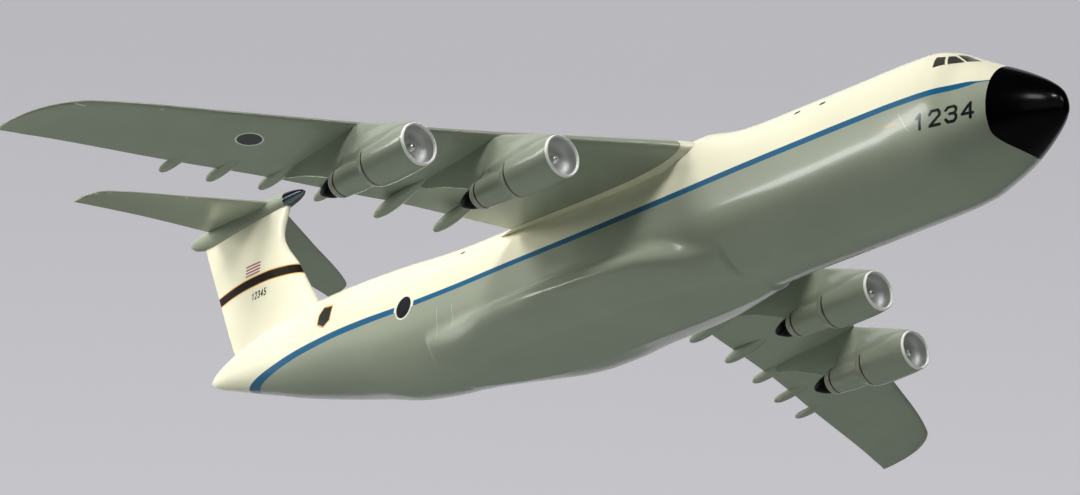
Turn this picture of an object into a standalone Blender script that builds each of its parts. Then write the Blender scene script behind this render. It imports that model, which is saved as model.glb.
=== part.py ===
"""Desk display model of a four-engined T-tailed heavy transport aeroplane, at 1:100.

Frame: +X towards the nose, +Y to port, +Z up. The origin is under the middle of the
length, on the flat belly that the model rests on. Stations run aft from the nose tip.
"""
from math import atan, cos, hypot, pi, radians, sin

import bmesh
import bpy
from mathutils import Matrix, Vector

MM = 0.001
MERGE_DISTANCE = 0.00001        # metres
SHARP_ANGLE = radians(40.0)

# Driving dimensions in millimetres of the model
NOSE_TO_MIDDLE = 375.5          # nose tip to the origin, half of the overall length
GAP = 0.3                       # clearance between touching pieces
RING_POINTS = 40                # points round one fuselage section
RADOME_JOIN = 33.2              # station of the join of radome and fuselage
RADOME_LEAN = 0.03              # how far the join leans back for each unit of height
LEAN_ENDS = 70.0                # station where the sections stand upright again
LONG_BAY = 5.0                  # rows further apart than this get a section between them

WING_ROOT = 34.0                # distance of the wing root from the centreline
WING_THICKNESS = 0.125          # thickness of the root section as a share of its chord
TIP_THICKNESS = 0.095
EDGE_THICKNESS = 0.9            # thickness of the trailing edges
CAMBER = 0.018                  # rise of a wing section's middle line by its chord
AIRFOIL_STEPS = 9               # points along each side of a wing section
TEARDROP_STEPS = 7              # and along each side of a fin or pylon section
TEARDROP_FULLNESS = 2.6         # brings the thickest place up to the half thickness
TEARDROP_EDGE = 0.10            # trailing edge by the half thickness

ENGINE_DROOP = radians(2.9)     # the inlets point up by this angle
NACELLE_SIDES = 28
PLUG_SIDES = 20
SPINNER_SIDES = 16

# Fuselage sections: station, bottom, top, half width, height of the widest place,
# squareness of the lower half, squareness of the upper half
FUSELAGE = (
    (0.0, 33.0, 35.6, 1.0, 34.3, 2.0, 2.0),
    (0.8, 30.8, 39.1, 2.4, 34.4, 2.0, 2.0),
    (3.0, 29.0, 43.9, 4.9, 34.6, 2.0, 2.0),
    (8.5, 25.3, 49.7, 9.5, 34.8, 2.0, 2.0),
    (17.0, 20.9, 56.2, 15.2, 35.0, 2.0, 2.0),
    (29.0, 15.0, 63.8, 21.7, 35.2, 2.0, 2.0),
    (40.0, 10.2, 69.9, 26.4, 35.4, 2.0, 2.0),
    (52.0, 6.3, 76.5, 29.6, 35.6, 2.05, 2.0),
    (64.0, 3.5, 82.8, 32.4, 35.8, 2.1, 2.25),
    (78.0, 2.2, 86.8, 34.0, 36.0, 2.1, 2.25),
    (95.0, 1.8, 87.2, 35.0, 36.0, 2.1, 2.25),
    (140.0, 1.2, 86.8, 35.5, 36.0, 2.15, 2.25),
    (190.0, 0.6, 86.7, 35.5, 36.0, 2.2, 2.25),
    (220.0, 0.0, 86.6, 35.5, 36.0, 2.3, 2.25),
    (250.0, 0.0, 86.4, 35.5, 36.0, 2.4, 2.25),
    (280.0, 0.0, 86.0, 35.5, 36.0, 2.5, 2.25),
    (320.0, 0.0, 85.6, 35.5, 36.0, 2.5, 2.25),
    (360.0, 0.0, 85.0, 35.5, 36.0, 2.5, 2.25),
    (400.0, 0.0, 84.2, 35.5, 36.5, 2.4, 2.25),
    (430.0, 0.4, 84.0, 35.4, 37.0, 2.3, 2.25),
    (460.0, 1.2, 85.0, 35.0, 38.0, 2.25, 2.25),
    (500.0, 5.4, 88.2, 33.6, 41.0, 2.2, 2.25),
    (540.0, 15.2, 90.2, 30.8, 45.0, 2.1, 2.25),
    (580.0, 24.8, 91.2, 26.4, 50.0, 2.05, 2.25),
    (615.0, 34.0, 91.0, 21.6, 54.5, 2.0, 2.0),
    (645.0, 43.2, 88.4, 16.6, 58.5, 2.0, 2.0),
    (672.0, 51.4, 83.6, 11.4, 62.5, 2.0, 2.0),
    (692.0, 57.6, 78.0, 7.4, 65.0, 2.0, 2.0),
    (705.0, 62.0, 72.6, 4.0, 66.4, 2.0, 2.0),
    (711.5, 65.9, 67.9, 1.1, 66.8, 2.0, 2.0),
)

# Gear pods on the flanks: station, half width, height of the middle, half height,
# squareness
PODS = (
    (216.0, 22.0, 9.0, 8.0, 2.0),
    (232.0, 28.0, 9.5, 9.5, 2.1),
    (244.0, 33.4, 11.0, 11.0, 2.2),
    (256.0, 38.4, 12.5, 12.5, 2.2),
    (270.0, 42.6, 13.4, 13.4, 2.2),
    (285.0, 44.6, 13.6, 13.6, 2.25),
    (305.0, 45.6, 13.6, 13.6, 2.3),
    (330.0, 46.9, 13.5, 13.5, 2.4),
    (355.0, 48.8, 13.2, 13.2, 2.7),
    (375.0, 49.0, 13.0, 13.0, 2.8),
    (392.0, 47.0, 12.8, 12.8, 2.7),
    (410.0, 42.2, 13.2, 12.8, 2.5),
    (430.0, 36.0, 14.4, 12.2, 2.3),
    (455.0, 29.0, 17.0, 10.0, 2.0),
)
POD_FILLET = 10.0               # width of the fillet between pod and flank
SEARCH_START = 1.8              # start of the search for the skin, by the body's radius
SEARCH_STEPS = 30               # coarse steps inwards to the skin, then as many halvings

# Wing sections: distance out, leading edge station, trailing edge station,
# leading edge height, trailing edge height
WING = (
    (34.0, 244.6, 383.2, 77.6, 68.6),
    (75.0, 267.4, 385.6, 73.4, 64.2),
    (118.0, 290.6, 388.4, 68.8, 59.4),
    (134.0, 299.0, 391.0, 67.1, 57.6),
    (189.0, 325.5, 400.2, 61.0, 52.4),
    (250.0, 353.4, 416.8, 54.7, 47.6),
    (319.0, 386.6, 436.4, 47.4, 43.4),
    (325.0, 392.6, 438.4, 46.7, 42.9),
    (333.0, 405.6, 440.8, 45.7, 42.4),
    (338.0, 420.4, 442.6, 44.5, 42.1),
    (340.0, 433.0, 443.4, 43.2, 42.0),
)

# Fairing over the wing's middle: distance out, front, back, height at the front,
# height at the back, thickness as a share of the length
SADDLE = (
    (0.0, 230.0, 424.0, 75.0, 76.0, 0.11),
    (12.0, 231.0, 420.0, 75.0, 75.0, 0.112),
    (22.0, 234.0, 410.0, 75.6, 73.0, 0.116),
    (29.0, 239.0, 395.0, 76.6, 70.0, 0.12),
    (33.7, 244.6, 383.2, 77.6, 68.6, 0.125),
)

# Engines: name, distance out, inlet station, inlet height
ENGINES = (("inboard", 120.3, 240.6, 40.1), ("outboard", 188.6, 275.4, 34.0))

# Turned profiles along an engine's axis: distance behind the inlet, radius. Each one
# ends on the axis and runs aft along its outer side.
COWL_OUTSIDE = ((1.2, 11.7), (3.0, 12.1), (9.0, 12.5), (24.0, 12.6), (32.5, 12.2),
                (36.6, 11.4), (39.2, 10.2), (40.2, 9.4))
COWL_BORE = ((11.3, 0.0), (11.3, 10.7), (1.2, 10.7))
COWL_END = ((40.2, 0.0),)
INLET = ((9.5, 0.0), (9.2, 9.7), (2.6, 10.0), (0.4, 11.1), (0.0, 11.5), (0.3, 11.9),
         (0.9, 11.6), (0.9, 10.4), (11.0, 10.4), (11.0, 0.0))
SPINNER = ((5.4, 0.0), (6.2, 1.5), (8.0, 2.5), (9.2, 2.7), (9.2, 0.0))
CORE = ((40.5, 0.0), (40.5, 9.2), (52.0, 8.9), (62.4, 8.1), (64.4, 8.0), (67.8, 6.9),
        (67.8, 0.0))
PLUG = ((68.1, 0.0), (68.1, 6.3), (73.0, 5.4), (77.6, 3.7), (81.0, 1.9), (82.8, 0.0))
NOSE_OF_SPACE = ((-1.0, 0.0), (-1.0, 11.0))

# Pylon sections from the nacelle up: height above the engine's axis, front and back
# behind the inlet, half thickness
PYLON = ((2.0, 8.8, 67.8, 9.6), (8.0, 5.2, 77.2, 8.8), (12.0, 1.5, 86.8, 7.4),
         (16.0, 9.9, 96.4, 6.0), (20.5, 21.4, 107.0, 5.0), (25.0, 34.0, 106.5, 4.6),
         (29.2, 46.2, 106.0, 4.6))

# Flap track fairings: distance out, tip station, tip height
FLAP_TRACKS = ((82.0, 393.3, 54.3), (121.8, 397.0, 50.7), (158.5, 404.3, 50.6),
               (190.4, 412.7, 49.2), (218.8, 422.1, 47.3), (244.7, 429.6, 46.3))
TRACK_LENGTH = 50.0
TRACK_RADIUS = 4.0              # at the thickest place, well aft
TRACK_BLUNTNESS = 0.42          # power by which the tip rounds off
TRACK_RISE = 0.22               # how much the fairing climbs forward for each unit
TRACK_STEPS = 9
TRACK_SIDES = 12

# Fin sections: height, leading edge station, trailing edge station, half thickness
FIN = ((66.0, 577.0, 679.0, 5.4), (80.0, 593.0, 689.0, 5.2), (98.0, 607.5, 699.0, 5.0),
       (126.0, 628.1, 713.2, 4.6), (155.0, 648.8, 728.0, 4.2), (172.0, 645.0, 736.0, 4.0))

# Tailplane sections: distance out, leading edge station, trailing edge station,
# leading edge height, trailing edge height
TAILPLANE = ((2.0, 660.8, 725.0, 178.6, 176.4), (50.0, 684.9, 728.0, 174.0, 172.4),
             (96.0, 708.2, 733.6, 169.3, 168.2), (101.0, 713.0, 734.6, 168.7, 167.8),
             (104.4, 723.6, 735.6, 168.1, 167.6))
TAIL_THICKNESS = 0.10

# Bullet at the top of the fin: station, height of the middle, half width, half height
BULLET = ((630.8, 178.6, 0.5, 0.5), (633.0, 178.5, 2.0, 2.0), (640.0, 178.1, 4.0, 4.0),
          (648.0, 177.6, 5.0, 5.2), (662.0, 176.2, 6.2, 7.2), (685.0, 174.8, 6.8, 8.4),
          (710.0, 174.0, 6.6, 8.2), (732.0, 173.4, 5.6, 6.6), (745.0, 173.8, 3.8, 4.4),
          (751.0, 174.2, 1.4, 1.6))
BULLET_TIP_END = 648.0
BULLET_SIDES = 20

# Colours: name, base colour, roughness, metallic
FINISHES = {
    "cream_white": ((0.80, 0.78, 0.70), 0.18, 0.0),
    "grey_green": ((0.27, 0.30, 0.25), 0.22, 0.0),
    "gloss_black": ((0.012, 0.012, 0.014), 0.10, 0.0),
    "turned_aluminium": ((0.62, 0.63, 0.64), 0.28, 1.0),
    "dark_metal": ((0.10, 0.12, 0.13), 0.25, 0.6),
}


def clear_scene():
    for item in list(bpy.data.objects):
        bpy.data.objects.remove(item, do_unlink=True)


def new_collection(name):
    group = bpy.data.collections.new(name)
    bpy.context.scene.collection.children.link(group)
    return group


def make_finish(name):
    colour, roughness, metallic = FINISHES[name]
    finish = bpy.data.materials.new(name)
    finish.use_nodes = True
    shader = finish.node_tree.nodes["Principled BSDF"]
    shader.inputs["Base Color"].default_value = (*colour, 1.0)
    shader.inputs["Roughness"].default_value = roughness
    shader.inputs["Metallic"].default_value = metallic
    return finish


def place(station, across, height):
    """A point of the model from its station, distance to port and height in mm."""
    return Vector(((NOSE_TO_MIDDLE - station) * MM, across * MM, height * MM))


def secant(table, index, column):
    """Slope of a table's column over the interval that starts at a row."""
    near, far = table[index], table[index + 1]
    return (far[column] - near[column]) / (far[0] - near[0])


def row_slope(table, index, column):
    """Slope of a column at a row, flat at each turning point so that nothing overshoots."""
    last = len(table) - 1
    if index in (0, last):
        return secant(table, min(index, last - 1), column)
    before, after = secant(table, index - 1, column), secant(table, index, column)
    if before * after <= 0.0:
        return 0.0
    return 2.0 * before * after / (before + after)


def interpolate(table, station):
    """The row of a table at a station, on smooth curves through its rows."""
    if station <= table[0][0]:
        return table[0][1:]
    if station >= table[-1][0]:
        return table[-1][1:]
    index = max(k for k, row in enumerate(table) if row[0] <= station)
    near, far = table[index], table[index + 1]
    length = far[0] - near[0]
    share = (station - near[0]) / length
    values = []
    for column in range(1, len(near)):
        start = row_slope(table, index, column) * length
        end = row_slope(table, index + 1, column) * length
        change = far[column] - near[column]
        bend = (3.0 * change - 2.0 * start - end) * share ** 2
        values.append(near[column] + start * share + bend
                      + (start + end - 2.0 * change) * share ** 3)
    return tuple(values)


def loft(name, rings, group, finish=None):
    """One closed body through rings of points, with a flat cap at each end."""
    bm = bmesh.new()
    rows = [[bm.verts.new(point) for point in ring] for ring in rings]
    count = len(rows[0])
    for near, far in zip(rows, rows[1:]):
        for k in range(count):
            following = (k + 1) % count
            bm.faces.new((near[k], near[following], far[following]))
            bm.faces.new((near[k], far[following], far[k]))
    bm.faces.new(rows[0])
    bm.faces.new(rows[-1])
    bmesh.ops.recalc_face_normals(bm, faces=bm.faces)
    mesh = bpy.data.meshes.new(name)
    bm.to_mesh(mesh)
    bm.free()
    mesh.shade_smooth()
    mesh.set_sharp_from_angle(angle=SHARP_ANGLE)
    return add_object(name, mesh, group, finish)


def add_object(name, mesh, group, finish):
    """Puts a mesh in the scene, as a cutter where it has no finish."""
    item = bpy.data.objects.new(name, mesh)
    group.objects.link(item)
    if finish is None:
        item.hide_render = True
        item.display_type = "WIRE"
    else:
        mesh.materials.append(finish)
    return item


def cut(item, cutter):
    """Takes the cutter's shape out of a piece."""
    boolean = item.modifiers.new("cut by " + cutter.name, "BOOLEAN")
    boolean.operation = "DIFFERENCE"
    boolean.solver = "EXACT"
    boolean.object = cutter


def turned(name, profile, frame, group, finish=None, sides=NACELLE_SIDES, grow=0.0):
    """A body turned round a frame's Z axis, from pairs of distance aft and radius."""
    points = []
    for aft, radius in profile:
        reach = radius + grow if radius > 0.0 else 0.0
        points.append((reach * MM, 0.0, -aft * MM))
    mesh = bpy.data.meshes.new(name)
    mesh.from_pydata(points, [(k, k + 1) for k in range(len(points) - 1)], [])
    item = add_object(name, mesh, group, finish)
    item.matrix_world = frame
    screw = item.modifiers.new("turn", "SCREW")
    screw.steps = sides
    screw.render_steps = sides
    screw.use_merge_vertices = True
    screw.merge_threshold = MERGE_DISTANCE
    return item


def grown(points, grow):
    """A closed flat outline moved outwards, given anticlockwise as pairs."""
    if grow == 0.0:
        return points
    moved = []
    count = len(points)
    for k in range(count):
        before = Vector(points[k]) - Vector(points[k - 1])
        after = Vector(points[(k + 1) % count]) - Vector(points[k])
        along = before.normalized() + after.normalized()
        outward = Vector((along.y, -along.x)).normalized()
        moved.append(tuple(Vector(points[k]) + outward * grow))
    return moved


def outside_pod(pod, across, height):
    """Roughly how far a point lies outside a gear pod's section."""
    half_width, middle, half_height, square = pod
    wide, tall = abs(across) / half_width, abs(height - middle) / half_height
    spread = (wide ** square + tall ** square) ** (1.0 / square)
    return hypot(across, height - middle) * (1.0 - 1.0 / spread)


def section_radius(station, angle, row):
    """Distance from the section's middle to its outline, with the pods filleted in."""
    bottom, top, half_width, middle, low_square, high_square = row
    square = high_square if sin(angle) > 0.0 else low_square
    half_height = top - middle if sin(angle) > 0.0 else middle - bottom
    flat = abs(cos(angle) / half_width) ** square + abs(sin(angle) / half_height) ** square
    body = flat ** (-1.0 / square)
    if not PODS[0][0] < station < PODS[-1][0] or sin(angle) > 0.0:
        return body
    pod = interpolate(PODS, station)

    def outside(reach):
        from_pod = outside_pod(pod, reach * cos(angle), middle + reach * sin(angle))
        from_body = reach - body
        fillet = max(POD_FILLET - abs(from_pod - from_body), 0.0)
        return min(from_pod, from_body) - fillet ** 2 / (4.0 * POD_FILLET)

    step = body / SEARCH_STEPS
    beyond = body * SEARCH_START
    while outside(beyond - step) > 0.0:
        beyond -= step
    within = beyond - step
    for _ in range(SEARCH_STEPS):
        half = 0.5 * (within + beyond)
        if outside(half) > 0.0:
            beyond = half
        else:
            within = half
    return within


def fuselage_ring(station):
    row = interpolate(FUSELAGE, station)
    middle = row[3]
    lean = RADOME_LEAN * max(0.0, 1.0 - abs(station - RADOME_JOIN) / (LEAN_ENDS - RADOME_JOIN))
    if station < RADOME_JOIN:
        lean = RADOME_LEAN * station / RADOME_JOIN
    ring = []
    for k in range(RING_POINTS):
        angle = 2.0 * pi * (k + 0.5) / RING_POINTS
        reach = section_radius(station, angle, row)
        across, up = reach * cos(angle), reach * sin(angle)
        ring.append(place(station + lean * up, across, max(middle + up, 0.0)))
    return ring


def fuselage_stations():
    """The rows of both tables, and the places halfway between them."""
    rows = sorted({row[0] for row in FUSELAGE} | {row[0] for row in PODS})
    halfway = [0.5 * (near + far) for near, far in zip(rows, rows[1:])
               if far - near > LONG_BAY]
    return sorted(rows + halfway)


def airfoil(chord, thickness):
    """Outline of a wing section as pairs of distance aft and height, anticlockwise."""
    upper, lower = [], []
    for k in range(AIRFOIL_STEPS + 1):
        share = 0.5 * (1.0 - cos(pi * k / AIRFOIL_STEPS))
        shape = (1.4845 * share ** 0.5 - 0.63 * share - 1.758 * share ** 2
                 + 1.4215 * share ** 3 - 0.518 * share ** 4)
        half = thickness * chord * shape + 0.5 * EDGE_THICKNESS * share
        middle = CAMBER * chord * 4.0 * share * (1.0 - share)
        upper.append((share * chord, middle + half))
        lower.append((share * chord, middle - half))
    return lower + upper[:0:-1]


def wing_ring(row, side, thickness, grow=0.0):
    out, front, back, front_height, back_height = row
    chord = back - front
    slope = (back_height - front_height) / chord
    outline = grown(airfoil(chord, thickness), grow)
    return [place(front + aft, side * out, front_height + slope * aft + up)
            for aft, up in outline]


def wing_thickness(out):
    share = (out - WING_ROOT) / (WING[-1][0] - WING_ROOT)
    return WING_THICKNESS + (TIP_THICKNESS - WING_THICKNESS) * share


def build_wing(name, side, group, finish=None, grow=0.0):
    rings = [wing_ring(row, side, wing_thickness(row[0]), grow) for row in WING]
    return loft(name, rings, group, finish)


def build_saddle(name, group, finish=None, grow=0.0):
    rings = []
    for side, table in ((-1.0, SADDLE[:0:-1]), (1.0, SADDLE)):
        for out, front, back, front_height, back_height, thick in table:
            row = (out + grow if out == SADDLE[-1][0] else out,
                   front, back, front_height, back_height)
            rings.append(wing_ring(row, side, thick, grow))
    return loft(name, rings, group, finish)


def turning_frame(origin, pitch):
    """A frame at a place, its Z forward and up by the pitch, its X downward."""
    return Matrix.Translation(origin) @ Matrix.Rotation(0.5 * pi - pitch, 4, "Y")


def teardrop(front, back, half):
    """Outline of a fin or pylon section as pairs of distance aft and across."""
    length = back - front
    port = []
    for k in range(TEARDROP_STEPS + 1):
        share = 0.5 * (1.0 - cos(pi * k / TEARDROP_STEPS))
        shape = TEARDROP_FULLNESS * share ** 0.5 * (1.0 - share) + TEARDROP_EDGE * share
        port.append((front + share * length, half * shape))
    starboard = [(aft, -across) for aft, across in port]
    return starboard + port[:0:-1]


def build_pylon(name, frame, group, finish):
    rings = []
    for up, front, back, half in PYLON:
        rings.append([frame @ (Vector((-up, across, -aft)) * MM)
                      for aft, across in teardrop(front, back, half)])
    return loft(name, rings, group, finish)


def build_engines(parts, cutters, finishes, wings):
    for side, word in ((1.0, "left"), (-1.0, "right")):
        for which, out, station, height in ENGINES:
            tag = which + "_" + word
            frame = turning_frame(place(station, side * out, height), ENGINE_DROOP)
            turned("nacelle_" + tag, COWL_BORE + COWL_OUTSIDE + COWL_END, frame, parts,
                   finishes["grey_green"])
            turned("inlet_" + tag, INLET, frame, parts, finishes["turned_aluminium"])
            turned("spinner_" + tag, SPINNER, frame, parts, finishes["turned_aluminium"],
                   SPINNER_SIDES)
            turned("core_" + tag, CORE, frame, parts, finishes["grey_green"])
            turned("exhaust_plug_" + tag, PLUG, frame, parts, finishes["gloss_black"],
                   PLUG_SIDES)
            pylon = build_pylon("pylon_" + tag, frame, parts, finishes["grey_green"])
            around = NOSE_OF_SPACE + COWL_OUTSIDE[1:-1] + CORE[1:-1] + PLUG[1:]
            cut(pylon, turned("nacelle_space_" + tag, around, frame, cutters, grow=GAP))
            cut(pylon, wings[word])


def track_profile():
    """Distance behind the front end and radius, thickest well aft, with a round tip."""
    thickest = TRACK_BLUNTNESS / (1.0 + TRACK_BLUNTNESS)
    full = thickest ** TRACK_BLUNTNESS * (1.0 - thickest)
    profile = [(0.0, 0.0)]
    for k in range(1, TRACK_STEPS):
        ahead = 1.0 - k / TRACK_STEPS
        radius = TRACK_RADIUS * ahead ** TRACK_BLUNTNESS * (1.0 - ahead) / full
        profile.append((k * TRACK_LENGTH / TRACK_STEPS, radius))
    return profile + [(TRACK_LENGTH, 0.0)]


def build_flap_tracks(parts, finishes, wings):
    profile = [(aft - TRACK_LENGTH, radius) for aft, radius in track_profile()]
    for side, word in ((1.0, "left"), (-1.0, "right")):
        for number, (out, tip, height) in enumerate(FLAP_TRACKS, start=1):
            frame = turning_frame(place(tip, side * out, height), atan(TRACK_RISE))
            name = "flap_track_" + word + "_" + str(number)
            track = turned(name, profile, frame, parts, finishes["grey_green"],
                           TRACK_SIDES)
            cut(track, wings[word])


def fin_ring(row, grow=0.0):
    height, front, back, half = row
    outline = grown(teardrop(front, back, half), grow)
    return [place(aft, across, height) for aft, across in outline]


def bullet_ring(row, grow=0.0):
    station, middle, half_width, half_height = row
    ring = []
    for k in range(BULLET_SIDES):
        angle = 2.0 * pi * k / BULLET_SIDES
        across = (half_width + grow) * cos(angle)
        ring.append(place(station, across, middle + (half_height + grow) * sin(angle)))
    return ring


def build_tail(parts, cutters, finishes):
    join = (BULLET_TIP_END, *interpolate(BULLET, BULLET_TIP_END))
    after = (BULLET_TIP_END + GAP, *interpolate(BULLET, BULLET_TIP_END + GAP))
    tip = [row for row in BULLET if row[0] < BULLET_TIP_END] + [join]
    rest = [after] + [row for row in BULLET if row[0] > BULLET_TIP_END + GAP]
    loft("bullet_tip", [bullet_ring(row) for row in tip], parts, finishes["dark_metal"])
    loft("bullet_fairing", [bullet_ring(row) for row in rest], parts,
         finishes["grey_green"])
    around = loft("bullet_space", [bullet_ring(row, GAP) for row in BULLET], cutters)
    fin = loft("fin", [fin_ring(row) for row in FIN], parts, finishes["cream_white"])
    cut(fin, around)
    for side, word in ((1.0, "left"), (-1.0, "right")):
        rings = [wing_ring(row, side, TAIL_THICKNESS) for row in TAILPLANE]
        half = loft("tailplane_" + word, rings, parts, finishes["grey_green"])
        cut(half, around)


def build_fuselage(parts, cutters, finishes):
    stations = fuselage_stations()
    nose = [s for s in stations if s < RADOME_JOIN] + [RADOME_JOIN]
    body = [RADOME_JOIN + GAP] + [s for s in stations if s > RADOME_JOIN]
    loft("radome", [fuselage_ring(s) for s in nose], parts, finishes["gloss_black"])
    fuselage = loft("fuselage", [fuselage_ring(s) for s in body], parts,
                    finishes["cream_white"])
    slot = loft("fin_slot", [fin_ring(row, GAP) for row in
                             ((FIN[0][0] - GAP, *FIN[0][1:]), *FIN[1:3])], cutters)
    cut(fuselage, slot)
    saddle = build_saddle("saddle_space", cutters, grow=GAP)
    cut(fuselage, saddle)


def main():
    clear_scene()
    parts = new_collection("transport_aeroplane_model")
    cutters = new_collection("cutters")
    finishes = {name: make_finish(name) for name in FINISHES}
    build_fuselage(parts, cutters, finishes)
    build_saddle("wing_fairing", parts, finishes["cream_white"])
    wings = {}
    for side, word in ((1.0, "left"), (-1.0, "right")):
        build_wing("wing_" + word, side, parts, finishes["grey_green"])
        wings[word] = build_wing("wing_space_" + word, side, cutters, grow=GAP)
    build_engines(parts, cutters, finishes, wings)
    build_flap_tracks(parts, finishes, wings)
    build_tail(parts, cutters, finishes)


main()
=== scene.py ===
"""Looks of a desk display model of a four-engined T-tailed transport aeroplane.

Lengths in the tables are millimetres of the model. A station runs aft from the nose tip,
a distance out is from the middle plane, and a height is above the belly it rests on.
"""
from math import atan, cos, pi, radians, sin

import bmesh
import bpy
import numpy as np
from mathutils import Matrix, Quaternion, Vector
from mathutils.bvhtree import BVHTree


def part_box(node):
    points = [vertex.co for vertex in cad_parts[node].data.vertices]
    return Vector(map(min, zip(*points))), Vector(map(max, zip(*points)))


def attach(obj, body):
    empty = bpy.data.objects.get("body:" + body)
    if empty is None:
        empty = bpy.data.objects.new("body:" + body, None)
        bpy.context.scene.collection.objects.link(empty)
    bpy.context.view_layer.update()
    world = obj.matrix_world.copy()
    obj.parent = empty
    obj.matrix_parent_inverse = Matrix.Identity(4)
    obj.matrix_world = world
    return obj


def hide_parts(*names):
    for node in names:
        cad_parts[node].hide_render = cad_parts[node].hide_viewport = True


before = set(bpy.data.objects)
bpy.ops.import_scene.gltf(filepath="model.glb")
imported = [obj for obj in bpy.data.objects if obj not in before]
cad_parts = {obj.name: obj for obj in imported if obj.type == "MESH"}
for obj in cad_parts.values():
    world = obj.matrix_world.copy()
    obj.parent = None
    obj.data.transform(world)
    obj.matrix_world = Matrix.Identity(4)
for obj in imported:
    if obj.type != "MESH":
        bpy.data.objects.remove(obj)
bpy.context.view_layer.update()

MM = 0.001
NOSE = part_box("radome")[1][0] / MM  # the nose tip's X, half of the overall length
SIDES = ((1.0, "left"), (-1.0, "right"))

# Camera of the photograph: at floor level below the right side, looking up
CAMERA_PLACE = (1.3997, -1.2078, -0.7342)
CAMERA_AIM = (-0.69938, 0.59451, 0.39678)
CAMERA_UP = (0.26436, -0.30060, 0.91638)
LENS_MM = 117.04
SENSOR_MM = 36.0

# Floor and backdrop, in metres
FLOOR_BELOW_CAMERA = 0.02
FLOOR_REACH = 9.0  # half the floor's width
FLOOR_COLOUR = (0.435, 0.475, 0.45)
BACKDROP_AWAY = 8.6  # from the model, beyond any camera that looks at it
BACKDROP_SIZE = 16.0  # half its width, and its height
BACKDROP_COLOUR = (0.60, 0.60, 0.62)
BACKDROP_GLOW = (0.480, 0.475, 0.505)
BACKDROP_FADE = (2.8, 4.4, 1.08, 0.94)  # two heights and the strength of the glow at each

MODEL_MIDDLE = (0.0, -0.03, 0.05)
NOSE_AIM = (0.36, 0.0, 0.035)
WARM = (1.0, 0.97, 0.91)
WHITE = (1.0, 1.0, 1.0)
AIR_COLOUR = (0.93, 0.97, 0.94)
AIR_GLOW = 0.03

# Lights: name, place, aim, size, power, colour, roll, kind of rays that don't meet it
LIGHTS = (
    ("key_light", (-0.97, -1.03, 1.03), MODEL_MIDDLE, (0.62, 0.62), 23.0, WARM, 0.0, "glossy"),
    ("side_light", (-1.42, -0.85, 0.49), MODEL_MIDDLE, (0.50, 0.50), 15.0, WARM, 0.0, "glossy"),
    ("front_light", (0.70, -0.71, 1.44), MODEL_MIDDLE, (0.90, 0.60), 27.0, (1.0, 0.98, 0.94),
     0.0, "glossy"),
    ("streak_light", (-0.62, -1.20, 0.66), (0.22, -0.03, 0.04), (0.80, 0.20), 4.8, WHITE,
     radians(50.0), "diffuse"),
    ("lamp_1", (1.03, -1.26, 1.31), NOSE_AIM, (0.25, 0.25), 5.0, WHITE, 0.0, "diffuse"),
    ("lamp_2", (1.33, -0.86, 1.44), NOSE_AIM, (0.05, 0.05), 5.0, WHITE, 0.0, "diffuse"),
    ("lamp_3", (1.70, -0.42, 1.33), NOSE_AIM, (0.15, 0.15), 4.0, WHITE, 0.0, "diffuse"),
    ("room_light", (2.4, -2.0, 0.9), (0.0, 0.0, 0.05), (2.6, 1.8), 10.0, WHITE, 0.0, "diffuse"),
)

# Lacquers: colour, mottle, then roughness, coat, depth of the waves and shine if special
LACQUERS = {
    "cream_white": ((0.80, 0.785, 0.62), 0.02),
    "grey_green": ((0.295, 0.331, 0.263), 0.03),
    "cheat_blue": ((0.008, 0.105, 0.225), 0.05),
    "gloss_black": ((0.0008, 0.0008, 0.001), 0.10, 0.16, 0.0, 0.0003, 0.07),
    "plug_black": ((0.001, 0.001, 0.001), 0.10, 0.25, 0.0, 0.0003, 0.04),
    "band_black": ((0.012, 0.008, 0.007), 0.10),
    "gold": ((0.72, 0.38, 0.08), 0.12),
    "ring_red": ((0.075, 0.007, 0.005), 0.20),
    "navy": ((0.010, 0.013, 0.018), 0.10),
    "ink_black": ((0.008, 0.010, 0.009), 0.10),
    "pane_dark": ((0.045, 0.048, 0.04), 0.10, 0.25),
    "decal_white": ((0.78, 0.76, 0.70), 0.03),
    "decal_red": ((0.30, 0.05, 0.04), 0.08),
    # Pale for scratches and chips, and for a painted highlight along a seam
    "scratch_pale": ((0.62, 0.63, 0.56), 0.05),
    "touch_up": ((0.47, 0.36, 0.16), 0.25),
}

# Turned finishes: colour, roughness, spacing of the rings, metallic share if not 1
METALS = {
    "dark_metal": ((0.12, 0.15, 0.17), 0.22, 0.0006),
    "turned_metal": ((0.66, 0.67, 0.66), 0.58, 0.0005),
    "spinner_metal": ((0.85, 0.85, 0.84), 0.12, 0.0008),
    # The inlet lip: a near-white with no metallic share, a painted reflection standing in for
    # the lamps that its polished metal mirrors all round
    "lip_painted_reflection": ((0.97, 0.98, 0.96), 0.30, 0.002, 0.0),
}

RADOME_JOIN = 33.2  # station of the join of radome and fuselage
JOIN_HEIGHT = 35.2  # height at which the join stands at that station
RADOME_LEAN = 0.03  # how far the join leans back for each unit of height
LEAN_ENDS = 70.0  # station where the sections stand upright again
JOIN_SWEEP_START = 24.0  # height below which the join sweeps forward
JOIN_SWEEP = 0.110  # by this much for each squared unit further down
POD_FILLET = 10.0  # width of the fillet between gear pod and flank
HAIRLINE = 0.06  # half of the visible joint between glued pieces

LIP_MIDDLE = 11.16  # radius of the inlet lip's foremost line
LIP_HALF_WIDTH = 0.71
THROAT_RADIUS = 10.45
THROAT_START = 1.5  # distance behind the lip where the turned bowl starts
THROAT_DEPTH = 9.2
THROAT_FOOT = 0.235  # angle at which the bowl ends at the spinner
THROAT_SQUARENESS = 3.4
SPINNER_FOOT = THROAT_DEPTH + 0.1
SPINNER_LENGTH = 4.6
SPINNER_RADIUS = 2.75

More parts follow.
